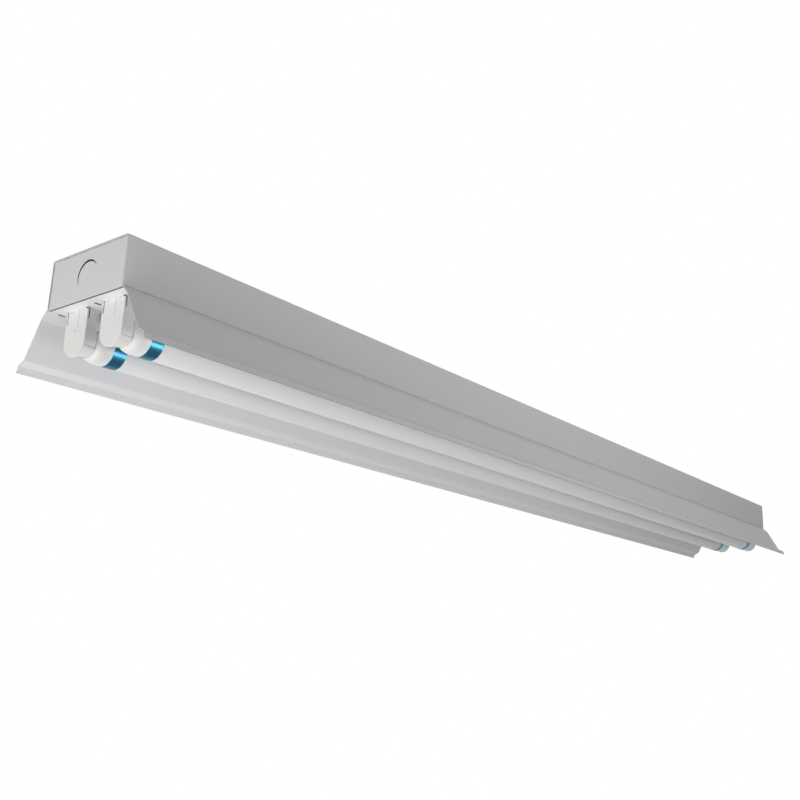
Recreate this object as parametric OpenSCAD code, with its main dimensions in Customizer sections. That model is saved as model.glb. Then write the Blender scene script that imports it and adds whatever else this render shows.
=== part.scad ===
// Two-lamp industrial shop light: a folded steel housing over a winged white
// reflector, with four rotary lampholders and two tube lamps.
// X runs along the light, from the near end to the far end. Y runs across it, left
// being +Y. Z is up, and the origin is the centre of the housing's top face.

/* [Housing] */
// Overall length of the housing and the reflector
fixture_len = 1244; // [900:1:2440]
// Width of the housing
housing_w = 89; // [84:0.5:130]
// Height of the housing's sides
housing_h = 37.5; // [36:0.5:60]
// Thickness of the sheet steel
sheet_t = 0.8; // [0.6:0.1:1.2]
// Radius of the folds in the sheet steel, on the outside
fold_r = 1.6; // [1.2:0.1:2.5]
// Width of the flanges turned inwards along the housing's lower edges
flange_w = 9; // [6:0.5:12]

/* [Mounting holes] */
// Distance of the screw holes from the light's end
screw_end = 63.2; // [40:0.1:90]
// Distance between the screw holes across the light
screw_pitch_y = 44.4; // [30:0.1:70]
// Diameter of the screw holes
screw_hole_d = 6.4; // [4:0.1:8]
// Distance of the hanger slots' middles from the light's end
hanger_end = 114; // [105:0.5:200]
// Distance between the hanger slots across the light
hanger_pitch_y = 63.5; // [40:0.1:76]
// Length of a hanger slot
hanger_slot_len = 16; // [10:0.5:20]
// Width of a hanger slot
hanger_slot_w = 4.8; // [3:0.1:6]
// Diameter of the hole for the supply cable's fitting
entry_d = 22.2; // [20:0.1:28]
// Distance of the supply hole from the middle of the light
entry_x = 190.5; // [185:0.1:220]

/* [End plates] */
// Gap between an end plate and the housing's walls
plate_gap = 0.5; // [0.3:0.05:0.6]
// Distance of an end plate's face inside the housing's end
plate_inset = 0.4; // [0.2:0.1:1]
// Length of the tabs that hold an end plate in the housing
plate_tab_len = 9; // [6:0.5:11]
// Radius of the knockout's slug
knockout_r = 11.1; // [8:0.1:12]
// Widest part of the slit round the slug
knockout_slit = 1.8; // [0.4:0.1:2]
// Depth of the knockout's centre below the top face
knockout_drop = 20; // [18:0.5:22]

/* [Reflector] */
// Width of the shoulder between the panel and a wing
shoulder_out = 6.2; // [4:0.1:9]
// Drop of the shoulder
shoulder_drop = 6.3; // [4:0.1:9]
// Width of a wing, past its shoulder
wing_out = 15.7; // [12:0.1:40]
// Drop of a wing, past its shoulder
wing_drop = 27.7; // [24:0.1:40]
// Width of the shelf along a wing's lower edge
shelf_out = 6.3; // [4:0.1:12]
// Drop of the shelf
shelf_drop = 3; // [1:0.1:5]
// Width of the sloping hem along the shelf's edge
hem_out = 2.3; // [0.5:0.1:4]
// Drop of the hem
hem_drop = 5.3; // [4:0.1:10]

/* [Lampholders] */
// Distance of the holders' front faces from the light's end
holder_inset = 10; // [8:0.5:14]
// Depth of a holder along the lamp
holder_depth = 12; // [11:0.1:14]
// Radius of the holder's round end at its front face
holder_front_r = 12.7; // [12.2:0.1:13.2]
// Radius of the holder's round end at its lamp face
holder_rear_r = 10.4; // [10.2:0.1:11]
// Diameter of the turning rotor
rotor_d = 16; // [15.6:0.1:16.4]
// Distance from the front face to the back of the rotor
rotor_seat = 3.4; // [3:0.1:4]
// Thickness of the contact strips
contact_t = 0.45; // [0.3:0.05:0.5]
// Width of the contact strips
contact_w = 3.6; // [2.5:0.1:4]

/* [Lamps] */
// Distance of each lamp's centre line inside the housing's side
lamp_edge = 23.1; // [20:0.1:24]
// Depth of the lamps' centre line below the top of the reflector's panel
lamp_drop = 23.6; // [23:0.1:26]
// Outer diameter of the tube
tube_d = 25.6; // [25:0.1:26]
// Wall of the tube
tube_wall = 0.9; // [0.6:0.1:1.2]
// Distance between the two pins of a cap
pin_pitch = 12.7; // [12.6:0.05:12.8]
// Diameter of a pin
pin_d = 2.38; // [2.2:0.01:2.5]
// Length of a pin
pin_len = 7.2; // [6.6:0.1:7.6]
// Length of the cap's wide collar, with its rounded nose
collar_len = 9; // [7:0.1:9.5]
// How far the cap's collar stands out past the tube
collar_step = 0.35; // [0.25:0.05:0.6]
// Diameter of the cap's flat nose
nose_d = 18.4; // [17:0.1:20]
// Length of the cap's sleeve between the collar and the ring
sleeve_len = 4.7; // [4:0.1:9]
// Length of the metallic ring
ring_len = 10.7; // [8:0.1:14]
// Wall of the metallic ring
ring_wall = 0.2; // [0.15:0.05:0.3]

/* [Driver] */
// Length of the driver's case
driver_len = 236; // [160:1:250]
// Width of the driver's case
driver_w = 34; // [28:0.5:38]
// Height of the driver's case
driver_h = 22; // [18:0.5:23]
// Diameter of a wire's insulation
wire_d = 2.2; // [1.6:0.1:2.6]

/* [Hidden] */
$fn = 64;

// Steps in each fold's curve
fold_steps = 4;
// How far a cut runs past the surface it opens
overrun = 1;
// Clearance between pieces that are fixed to each other
seat_gap = 0.1;
// Clearance of the rotor in its bore
running_gap = 0.08;
// Clearance between the lamp's face and the holder's
face_gap = 0.3;

// Places that the pieces share
end_x = fixture_len / 2;
half_w = housing_w / 2;
panel_top = -housing_h;
panel_under = panel_top - sheet_t;
lamp_z = panel_top - lamp_drop;
lamp_y = half_w - lamp_edge;
lamp_len = fixture_len - 2 * (holder_inset + holder_depth + face_gap);
panel_height = panel_under - lamp_z;

// End plate: its reach below the panel, and the space behind it before the panel begins
plate_dip = 0.2;
plate_panel_gap = 1.2;
panel_back = plate_inset + sheet_t + plate_panel_gap;

// Knockout: play of the slug in its hole, and the way the slug lies off, across and down
slug_play = 0.1;
slug_way = [0.5, 0.866];

// Holder: slot for the pins, base in the housing and snap feet
pin_slot_w = 3.1;
pin_slot_front = rotor_seat + seat_gap;
pin_tip_gap = 0.3;
rotor_slot_front = holder_depth + face_gap - pin_len - pin_tip_gap;
base_front = 2.2;
base_rear = 10.4;
base_rise = 6.5;
foot_reach = 1.4;
foot_rise = 3.2;
foot_gap = 0.2;
contact_tail = 0.5;
contact_dip = 3.4;
contact_front = 5.2;
contact_gap = 0.12;
base_side_wall = 0.95;
base_half = rotor_d / 2 + running_gap + contact_gap + contact_t + base_side_wall;

// Holder: marks on its front face and side walls
groove_w = 0.7;
groove_depth = 0.4;
groove_y = -2.6;
groove_foot = 9;
edge_groove_y = 10.9;
edge_groove_foot = 13;
peep_r = 0.9;
peep_y = 7;
peep_drop = 1.4;
peep_depth = 1.2;
dimple_r = 1.3;
dimple_z = 7;
latch_slit_w = 0.8;
latch_slit_x = 2;
latch_slit_len = 8.2;
latch_slit_depth = 2.2;
notch_r = 3.3;
notch_drop = 5.2;
notch_depth = 1.6;
tab_reach = 1.6;
tab_t = 1.2;
tab_top_drop = 8.7;
tab_len = 6;

// Housing: the notch that ends each flange past the holders
notch_margin = 3.6;
flange_notch = holder_inset + base_rear + notch_margin;

// Reflector: openings in its panel
opening_gap = 0.3;
hook_slot_len = 5.4;
hook_slot_w = 1.9;
hook_slot_lead = 1;
hook_slot_edge = 0.7;

// Spreader and its screw
spreader_x = end_x / 2;
spreader_w = 24;
spreader_tab_h = 14;
reflector_screw_d = 4;
reflector_screw_len = 9;
reflector_head_d = 8;
reflector_head_h = 2;
reflector_head_crown = 0.6;

// Cap: steps in its nose's curve, the straight rim past it, walls and the inner spigot
nose_steps = 8;
rim_len = 0.3;
cap_wall = 1.8;
spigot_wall = 1.6;
spigot_len = 8;
collar_r = tube_d / 2 + collar_step;

// Lamp interior
spine_wall = 1;
spine_gap = 0.2;
spine_shelf_z = 2;
board_w = 11;
board_t = 1;
board_margin = 6;
chip_len = 3.5;
chip_w = 2.8;
chip_h = 0.7;
chip_pitch = 29;

// Driver, its studs and nuts
case_wall = 0.7;
base_wall = 1;
foot_len = 16;
stud_d = 4;
stud_len = 6;
nut_d = 8;
nut_h = 3;
nut_sides = 6;

// Driver's circuit board: its edge clearance, height and the parts on it
pcb_t = 1.6;
pcb_margin = 4;
pcb_lift = 3;
core_len = 26;
core_w = 20;
core_h = 13;
can_d = 12;
can_len = 22;
can_gap = 6;

// Terminal block, ground screw and wires
block_len = 22;
block_w = 15;
block_foot = 4;
block_gap = 6;
block_port_d = 3;
block_web = 1.1;
block_x = driver_len / 2 + foot_len + block_gap;
port_step = block_port_d + block_web;
ports_z = -sheet_t - stud_len - wire_d;
ground_d = 4;
ground_head_d = 8.5;
ground_head_h = 1.8;
ground_len = 3;
wire_sides = 8;
wire_depth = 15;
wire_lane_edge = 13.5;
wire_lane_y = half_w - wire_lane_edge;
wire_gap = 3;
wire_pitch = wire_d + wire_gap;
wire_bend_len = 9;
wire_entry = 4;

function unit(v) = v / norm(v);
function turned(v) = [-v[1], v[0]] / norm(v);
function flip_y(points) = [for (i = [len(points) - 1 : -1 : 0]) [-points[i][0], points[i][1]]];

// An open outline with each inner corner replaced by a short curve of radius r
function folded(p, r) = [
  for (i = [0 : len(p) - 1])
    if (i == 0 || i == len(p) - 1) p[i]
    else
      let (
        u = unit(p[i] - p[i - 1]),
        v = unit(p[i + 1] - p[i]),
        reach = r * tan(acos(u * v) / 2),
        a = p[i] - u * reach,
        c = p[i] + v * reach
      )
      for (k = [0 : fold_steps])
        let (s = k / fold_steps)
          (1 - s) * (1 - s) * a + 2 * s * (1 - s) * p[i] + s * s * c
];

// The same outline moved t to its left, with mitred corners
function beside(p, t) = [
  for (i = [0 : len(p) - 1])
    let (
      a = i > 0 ? turned(p[i] - p[i - 1]) : turned(p[1] - p[0]),
      b = i < len(p) - 1 ? turned(p[i + 1] - p[i]) : a
    )
    p[i] + t * (a + b) / (1 + a * b)
];

// A folded sheet: an outline in Y and Z with a thickness, run along X
module folded_sheet(outline, thickness, x_from, x_to) {
  outer = folded(outline, fold_r);
  inner = beside(outer, thickness);
  translate([x_from, 0, 0])
    rotate([90, 0, 90])
      linear_extrude(height = x_to - x_from)
        polygon(concat(outer, [for (i = [len(inner) - 1 : -1 : 0]) inner[i]]));
}

// A cylinder along X from x_from to x_to
module rod_x(r, x_from, x_to) {
  translate([x_from, 0, 0]) rotate([0, 90, 0]) cylinder(r = r, h = x_to - x_from);
}

// A box from one corner to the other
module block(low, high) {
  translate(low) cube(high - low);
}

// Puts its children at all four places that two pitches set
module at_four(pitch_x, pitch_y) {
  for (sx = [-1, 1])
    for (sy = [-1, 1])
      translate([sx * pitch_x / 2, sy * pitch_y / 2, 0]) children();
}

// Puts what is drawn for the near left holder at one of the four holders.
// The far holders are the same piece turned half round.
module at_holder(far, side) {
  translate([far ? end_x - holder_inset : -end_x + holder_inset, side * lamp_y, lamp_z])
    rotate([0, 0, far ? 180 : 0])
      children();
}

// Puts what is drawn from a cap's face into the lamp at one end of a lamp
module at_cap(far, side) {
  translate([far ? lamp_len / 2 : -lamp_len / 2, side * lamp_y, lamp_z])
    rotate([0, 0, far ? 180 : 0])
      children();
}

module slot_cut() {
  reach = (hanger_slot_len - hanger_slot_w) / 2;
  for (s = [-1, 1])
    translate([s * reach, 0, -sheet_t - overrun])
      cylinder(d = hanger_slot_w, h = sheet_t + 2 * overrun);
  block(
    [-reach, -hanger_slot_w / 2, -sheet_t - overrun],
    [reach, hanger_slot_w / 2, overrun]
  );
}

module housing_channel() {
  left = [[half_w - flange_w, panel_top], [half_w, panel_top], [half_w, 0]];
  color("gainsboro")
    difference() {
      folded_sheet(concat(left, flip_y(left)), sheet_t, -end_x, end_x);
      for (s = [-1, 1])
        block(
          [s > 0 ? end_x - flange_notch : -end_x - overrun, -half_w + sheet_t, panel_top - overrun],
          [s > 0 ? end_x + overrun : -end_x + flange_notch, half_w - sheet_t, panel_top + fold_r]
        );
      at_four(fixture_len - 2 * screw_end, screw_pitch_y)
        translate([0, 0, -sheet_t - overrun])
          cylinder(d = screw_hole_d, h = sheet_t + 2 * overrun);
      at_four(fixture_len - 2 * hanger_end, hanger_pitch_y) slot_cut();
      translate([entry_x, 0, -sheet_t - overrun])
        cylinder(d = entry_d, h = sheet_t + 2 * overrun);
    }
}

// An end plate drawn at the near end: its face, three tabs and the knockout.
// The slit is a crescent, so the slug still hangs on where it vanishes.
module end_plate(far) {
  reach = half_w - sheet_t - plate_gap;
  face_x = -end_x + plate_inset;
  top = -sheet_t - plate_gap;
  low = panel_top + plate_gap;
  tab_x = face_x + plate_tab_len;
  slug_shift = (knockout_slit - slug_play) * slug_way;
  rotate([0, 0, far ? 180 : 0])
    color("lightgray")
      difference() {
        union() {
          block([face_x, -reach, panel_under - plate_dip], [face_x + sheet_t, reach, top]);
          block([face_x, -reach + fold_r, top - sheet_t], [tab_x, reach - fold_r, top]);
          for (s = [-1, 1])
            block(
              [face_x, s > 0 ? reach - sheet_t : -reach, low + fold_r],
              [tab_x, s > 0 ? reach : -reach + sheet_t, top - sheet_t - fold_r]
            );
        }
        difference() {
          translate([0, 0, -knockout_drop])
            rod_x(knockout_r + slug_play, face_x - overrun, face_x + sheet_t + overrun);
          translate([0, -slug_shift.x, -knockout_drop - slug_shift.y])
            rod_x(knockout_r, face_x - 2 * overrun, face_x + sheet_t + 2 * overrun);
        }
      }
}

module reflector() {
  shoulder = [half_w + shoulder_out, panel_top - shoulder_drop];
  kink = shoulder + [wing_out, -wing_drop];
  lip = kink + [shelf_out, -shelf_drop];
  hem = lip + [hem_out, -hem_drop];
  left = [hem, lip, kink, shoulder, [half_w, panel_top]];
  hook_x = end_x - holder_inset + hook_slot_lead - hook_slot_len / 2;
  color("white")
    difference() {
      folded_sheet(concat(left, flip_y(left)), sheet_t, -end_x, end_x);
      for (far = [false, true])
        for (side = [-1, 1])
          at_holder(far, side)
            block(
              [base_front - opening_gap, -base_half - opening_gap, panel_height - overrun],
              [base_rear + opening_gap, base_half + opening_gap, panel_height + sheet_t + overrun]
            );
      for (sx = [-1, 1])
        translate([sx * end_x, 0, panel_top])
          cube([2 * panel_back, 2 * (half_w - sheet_t), 2 * sheet_t + overrun], center = true);
      for (sx = [-1, 1])
        for (sy = [-1 : 1])
          translate([sx * hook_x, sy * (half_w - hook_slot_edge), panel_top])
            cube([hook_slot_len, hook_slot_w, 2 * sheet_t + overrun], center = true);
      for (sx = [-1, 1])
        translate([sx * spreader_x, 0, panel_under - overrun])
          cylinder(d = reflector_screw_d + 2 * seat_gap, h = sheet_t + 2 * overrun);
    }
}

// A strip across the housing, laid on its flanges, that takes a reflector screw
module spreader(sx) {
  reach = half_w - sheet_t - seat_gap;
  low = panel_top + sheet_t;
  high = low + spreader_tab_h;
  color("silver")
    translate([sx * spreader_x, 0, 0])
      difference() {
        folded_sheet(
          [[-reach, high], [-reach, low], [reach, low], [reach, high]],
          sheet_t, -spreader_w / 2, spreader_w / 2
        );
        translate([0, 0, low - overrun])
          cylinder(d = reflector_screw_d + seat_gap, h = sheet_t + 2 * overrun);
      }
}

module reflector_screws() {
  color("whitesmoke")
    for (sx = [-1, 1])
      translate([sx * spreader_x, 0, panel_under]) {
        cylinder(d = reflector_screw_d, h = reflector_screw_len);
        translate([0, 0, -reflector_head_h])
          cylinder(d = reflector_head_d, h = reflector_head_h);
        translate([0, 0, -reflector_head_h - reflector_head_crown])
          cylinder(d1 = reflector_head_d / 2, d2 = reflector_head_d, h = reflector_head_crown);
      }
}

// A contact strip on one side of a rotor, grown by g, up to the given height
module contact_strip(side, g, top) {
  inner = rotor_d / 2 + running_gap + contact_gap;
  y_low = inner - g;
  y_high = inner + contact_t + g;
  block(
    [contact_front - g, side > 0 ? y_low : -y_high, -contact_dip - g],
    [contact_front + contact_w + g, side > 0 ? y_high : -y_low, top]
  );
}

// The thin slit that frees a latch in one side wall, shaped like an upturned L
module latch_slit(side) {
  y_low = holder_front_r - latch_slit_depth;
  y_high = holder_front_r + overrun;
  corner_x = latch_slit_x + latch_slit_w;
  top = panel_height - latch_slit_w;
  block(
    [latch_slit_x, side > 0 ? y_low : -y_high, panel_height - latch_slit_len],
    [corner_x, side > 0 ? y_high : -y_low, top]
  );
  block(
    [-overrun, side > 0 ? y_low : -y_high, top - latch_slit_w],
    [corner_x, side > 0 ? y_high : -y_low, top]
  );
}

module holder_shell() {
  taper = (holder_front_r - holder_rear_r) / holder_depth;
  rotate([0, 90, 0])
    cylinder(r1 = holder_front_r, r2 = holder_rear_r, h = holder_depth);
  linear_extrude(height = panel_height)
    polygon([
      [0, -holder_front_r], [holder_depth, -holder_rear_r],
      [holder_depth, holder_rear_r], [0, holder_front_r]
    ]);
  block(
    [base_front, -base_half, panel_height - overrun],
    [base_rear, base_half, panel_height + base_rise]
  );
  foot_low = panel_height + sheet_t + foot_gap;
  for (s = [-1, 1])
    translate([base_front, 0, foot_low])
      rotate([90, 0, 90])
        linear_extrude(height = base_rear - base_front)
          polygon([
            [s * (base_half - foot_reach), 0], [s * (base_half + foot_reach), 0],
            [s * base_half, foot_rise], [s * (base_half - foot_reach), foot_rise]
          ]);
  tab_top = panel_height - tab_top_drop;
  for (s = [-1, 1])
    block(
      [holder_depth - tab_t, s > 0 ? holder_rear_r - tab_t : -holder_rear_r, tab_top - tab_len],
      [holder_depth + tab_reach, s > 0 ? holder_rear_r : -holder_rear_r + tab_t, tab_top]
    );
}

module lampholder(far, side) {
  color("ivory")
    at_holder(far, side)
      difference() {
        holder_shell();
        rod_x(rotor_d / 2 + running_gap, rotor_seat, holder_depth + overrun);
        block(
          [pin_slot_front, -pin_slot_w / 2, -holder_front_r - overrun],
          [holder_depth + overrun, pin_slot_w / 2, 0]
        );
        for (s = [-1, 1]) contact_strip(s, contact_gap, panel_height + base_rise + overrun);
        block(
          [-overrun, groove_y - groove_w / 2, groove_foot],
          [groove_depth, groove_y + groove_w / 2, panel_height + overrun]
        );
        block(
          [-overrun, edge_groove_y - groove_w / 2, edge_groove_foot],
          [groove_depth, edge_groove_y + groove_w / 2, panel_height + overrun]
        );
        for (s = [-1, 1])
          translate([0, s * peep_y, panel_height - peep_drop])
            rod_x(peep_r, -overrun, peep_depth);
        translate([0, 0, dimple_z]) rod_x(dimple_r, -overrun, groove_depth);
        for (s = [-1, 1]) latch_slit(s);
        for (s = [-1, 1])
          translate([holder_depth, s * holder_rear_r, panel_height - notch_drop])
            rotate([90, 0, 0])
              cylinder(r = notch_r, h = 2 * notch_depth, center = true);
      }
}

// The rotor holds the lamp's pins in a slot across its face and turns with them
module rotor(far, side) {
  color("white")
    at_holder(far, side)
      difference() {
        rod_x(rotor_d / 2, rotor_seat + seat_gap, holder_depth);
        block(
          [rotor_slot_front, -rotor_d / 2 - overrun, -pin_slot_w / 2],
          [holder_depth + overrun, rotor_d / 2 + overrun, pin_slot_w / 2]
        );
      }
}

module contacts(far, side) {
  color("goldenrod")
    at_holder(far, side)
      for (s = [-1, 1]) contact_strip(s, 0, panel_height + base_rise + contact_tail);
}

module pins(far, side) {
  color("khaki")
    at_cap(far, side)
      for (s = [-1, 1])
        translate([0, s * pin_pitch / 2, 0]) rod_x(pin_d / 2, -pin_len, 0);
}

// A cap: rounded nose, wide collar, plain sleeve and the spigot inside the tube
module cap(far, side) {
  nose_r = nose_d / 2;
  sleeve_r = tube_d / 2 + ring_wall;
  spigot_r = tube_d / 2 - tube_wall - seat_gap;
  round_len = collar_len - rim_len;
  sleeve_end = collar_len + sleeve_len;
  nose = [
    for (k = [0 : nose_steps])
      let (a = 90 * k / nose_steps)
        [nose_r + (collar_r - nose_r) * sin(a), round_len * (1 - cos(a))]
  ];
  color("white")
    at_cap(far, side)
      rotate([0, 90, 0])
        rotate_extrude()
          polygon(concat(
            [[0, 0]], nose,
            [
              [collar_r, collar_len], [sleeve_r, collar_len], [sleeve_r, sleeve_end],
              [spigot_r, sleeve_end], [spigot_r, sleeve_end + spigot_len],
              [spigot_r - spigot_wall, sleeve_end + spigot_len],
              [spigot_r - spigot_wall, cap_wall], [0, cap_wall]
            ]
          ));
}

module ring(far, side) {
  ring_start = collar_len + sleeve_len;
  color("steelblue")
    at_cap(far, side)
      difference() {
        rod_x(tube_d / 2 + ring_wall, ring_start, ring_start + ring_len);
        rod_x(tube_d / 2 + seat_gap / 2, ring_start - overrun, ring_start + ring_len + overrun);
      }
}

module tube(side) {
  half = lamp_len / 2 - collar_len - sleeve_len;
  color("aliceblue")
    translate([0, side * lamp_y, lamp_z])
      difference() {
        rod_x(tube_d / 2, -half, half);
        rod_x(tube_d / 2 - tube_wall, -half - overrun, half + overrun);
      }
}

// The aluminium back of a lamp: an arch against the tube's top, closed by a shelf
module spine(side) {
  outer = tube_d / 2 - tube_wall - spine_gap;
  half = lamp_len / 2 - collar_len - sleeve_len - spigot_len - spine_gap;
  color("silver")
    translate([-half, side * lamp_y, lamp_z])
      rotate([90, 0, 90])
        linear_extrude(height = 2 * half)
          intersection() {
            difference() {
              circle(r = outer);
              intersection() {
                circle(r = outer - spine_wall);
                translate([-outer, spine_shelf_z + spine_wall]) square([2 * outer, outer]);
              }
            }
            translate([-outer, spine_shelf_z]) square([2 * outer, outer]);
          }
}

module led_board(side) {
  half = lamp_len / 2 - collar_len - sleeve_len - spigot_len - board_margin;
  chips = floor((half - chip_len) / chip_pitch);
  color("whitesmoke")
    translate([0, side * lamp_y, lamp_z + spine_shelf_z - board_t]) {
      block([-half, -board_w / 2, 0], [half, board_w / 2, board_t]);
      for (k = [-chips : chips])
        block(
          [k * chip_pitch - chip_len / 2, -chip_w / 2, -chip_h],
          [k * chip_pitch + chip_len / 2, chip_w / 2, 0]
        );
    }
}

module driver_case() {
  low = -sheet_t - base_wall - driver_h;
  high = -sheet_t - base_wall;
  color("lightgray")
    difference() {
      block([-driver_len / 2, -driver_w / 2, low], [driver_len / 2, driver_w / 2, high]);
      block(
        [-driver_len / 2 + case_wall, -driver_w / 2 + case_wall, low + case_wall],
        [driver_len / 2 - case_wall, driver_w / 2 - case_wall, high + overrun]
      );
    }
}

module at_studs() {
  for (sx = [-1, 1])
    translate([sx * (driver_len + foot_len) / 2, 0, -sheet_t]) children();
}

module driver_base() {
  reach = driver_len / 2 + foot_len;
  color("silver")
    difference() {
      block([-reach, -driver_w / 2, -sheet_t - base_wall], [reach, driver_w / 2, -sheet_t]);
      at_studs()
        translate([0, 0, -base_wall - overrun])
          cylinder(d = stud_d + 2 * seat_gap, h = base_wall + 2 * overrun);
    }
}

// The driver's circuit board, held by the case's sides, with its core and two cans
module driver_board() {
  half_len = driver_len / 2 - case_wall - pcb_margin;
  half_pcb_w = driver_w / 2 - case_wall - seat_gap;
  top = -sheet_t - base_wall - driver_h + case_wall + pcb_lift + pcb_t;
  color("darkgreen") {
    block([-half_len, -half_pcb_w, top - pcb_t], [half_len, half_pcb_w, top]);
    block([-core_len / 2, -core_w / 2, top], [core_len / 2, core_w / 2, top + core_h]);
    for (sx = [-1, 1])
      translate([sx * (core_len / 2 + can_gap + can_len / 2), 0, top + can_d / 2])
        rod_x(can_d / 2, -can_len / 2, can_len / 2);
  }
}

module driver_studs() {
  color("silver")
    at_studs()
      translate([0, 0, -stud_len]) cylinder(d = stud_d, h = stud_len);
}

module driver_nuts() {
  color("darkgray")
    at_studs()
      translate([0, 0, -base_wall - nut_h])
        difference() {
          cylinder(d = nut_d, h = nut_h, $fn = nut_sides);
          translate([0, 0, -overrun])
            cylinder(d = stud_d + seat_gap, h = nut_h + 2 * overrun);
        }
}

module terminal_block() {
  color("orange")
    difference() {
      block(
        [block_x, -block_w / 2, ports_z - block_foot],
        [block_x + block_len, block_w / 2, -sheet_t]
      );
      for (k = [-1 : 1])
        translate([0, k * port_step, ports_z])
          rod_x(block_port_d / 2, block_x - overrun, block_x + wire_entry);
    }
}

module ground_screw() {
  color("seagreen")
    translate([block_x + block_len / 2, -entry_d, -sheet_t]) {
      translate([0, 0, -ground_len]) cylinder(d = ground_d, h = ground_len);
      translate([0, 0, -ground_len - ground_head_h])
        cylinder(d = ground_head_d, h = ground_head_h);
    }
}

// The rings of points of a wire: each is carried along its stretch to the mitre plane
function wire_rings(route, ring, i) =
  i >= len(route) ? []
  : let (
      d = unit(route[i] - route[i - 1]),
      n = i < len(route) - 1 ? unit(d + unit(route[i + 1] - route[i])) : d,
      next = [for (q = ring) q + d * ((route[i] - q) * n) / (d * n)]
    )
    concat(next, wire_rings(route, next, i + 1));

// A wire along a route of straight stretches with mitred bends
module wire(route) {
  d = unit(route[1] - route[0]);
  across = unit(cross(d, [0, 0, 1]));
  up = cross(across, d);
  start = [
    for (k = [0 : wire_sides - 1])
      let (a = 360 * k / wire_sides)
        route[0] + (across * cos(a) + up * sin(a)) * wire_d / 2
  ];
  last = (len(route) - 1) * wire_sides;
  polyhedron(
    points = concat(start, wire_rings(route, start, 1)),
    faces = concat(
      [
        for (i = [0 : len(route) - 2])
          for (k = [0 : wire_sides - 1])
            let (a = i * wire_sides + k, b = i * wire_sides + (k + 1) % wire_sides)
              each [[a, a + wire_sides, b], [b, a + wire_sides, b + wire_sides]]
      ],
      [for (k = [1 : wire_sides - 2]) [0, k, k + 1]],
      [for (k = [1 : wire_sides - 2]) [last, last + k + 1, last + k]]
    )
  );
}

// Two wires from the driver's end to each holder of one end, one for each contact
module wiring(sx) {
  start_x = driver_len / 2;
  strip = rotor_d / 2 + running_gap + contact_gap + contact_t / 2;
  drop_x = end_x - holder_inset - contact_front - contact_w / 2;
  drop_z = panel_under + base_rise + contact_tail;
  color("firebrick")
    for (side = [-1, 1])
      for (s = [-1, 1]) {
        lane = wire_lane_y + s * wire_pitch / 2;
        depth = -wire_depth - (s > 0 ? 0 : wire_pitch);
        start_y = side * (driver_w / 2 - wire_gap - (s > 0 ? 0 : wire_pitch));
        bend_x = start_x + foot_len + wire_bend_len * (s > 0 ? 1 : 2);
        wire([
          [sx * start_x, start_y, depth],
          [sx * (start_x + foot_len), start_y, depth],
          [sx * bend_x, side * lane, depth],
          [sx * (drop_x - 2 * wire_bend_len), side * lane, depth],
          [sx * drop_x, side * (lamp_y + s * strip), depth],
          [sx * drop_x, side * (lamp_y + s * strip), drop_z]
        ]);
      }
}

module supply_wires() {
  color("black")
    for (k = [-1 : 1])
      translate([0, k * port_step, ports_z])
        rod_x(wire_d / 2, driver_len / 2, block_x + wire_entry);
}

housing_channel();
end_plate(false);  // end_plate_near
end_plate(true);  // end_plate_far
reflector();
spreader(-1);  // spreader_near
spreader(1);  // spreader_far
reflector_screws();
lampholder(false, 1);  // lampholder_near_left
lampholder(false, -1);  // lampholder_near_right
lampholder(true, 1);  // lampholder_far_left
lampholder(true, -1);  // lampholder_far_right
rotor(false, 1);  // rotor_near_left
rotor(false, -1);  // rotor_near_right
rotor(true, 1);  // rotor_far_left
rotor(true, -1);  // rotor_far_right
contacts(false, 1);  // contacts_near_left
contacts(false, -1);  // contacts_near_right
contacts(true, 1);  // contacts_far_left
contacts(true, -1);  // contacts_far_right
tube(1);  // tube_left
tube(-1);  // tube_right
spine(1);  // spine_left
spine(-1);  // spine_right
led_board(1);  // led_board_left
led_board(-1);  // led_board_right
cap(false, 1);  // cap_near_left
cap(false, -1);  // cap_near_right
cap(true, 1);  // cap_far_left
cap(true, -1);  // cap_far_right
ring(false, 1);  // ring_near_left
ring(false, -1);  // ring_near_right
ring(true, 1);  // ring_far_left
ring(true, -1);  // ring_far_right
pins(false, 1);  // pins_near_left
pins(false, -1);  // pins_near_right
pins(true, 1);  // pins_far_left
pins(true, -1);  // pins_far_right
driver_case();
driver_base();
driver_board();
driver_studs();
driver_nuts();
terminal_block();
ground_screw();
wiring(-1);  // wiring_near
wiring(1);  // wiring_far
supply_wires();
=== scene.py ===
# %% [markdown]
# # Dressing a two-lamp shop light
#
# A shop light is a long folded-steel housing that hangs under a ceiling, with a white reflector
# and two tube lamps below it. The construction is finished before this lesson starts: every part
# has its real size and place. Here the parts get their looks. Sheet metal, lampholders, caps,
# rings and tubes are modelled again with soft edges and small details, and every part gets a
# procedural material.
#
# X runs along the light from its near end to its far end, +Y is its left side, and Z is up. The
# origin is the centre of the housing's top face. Everything is in metres.

# %% Load the construction
import math

import bmesh
import bpy
from mathutils import Matrix, Vector


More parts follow.
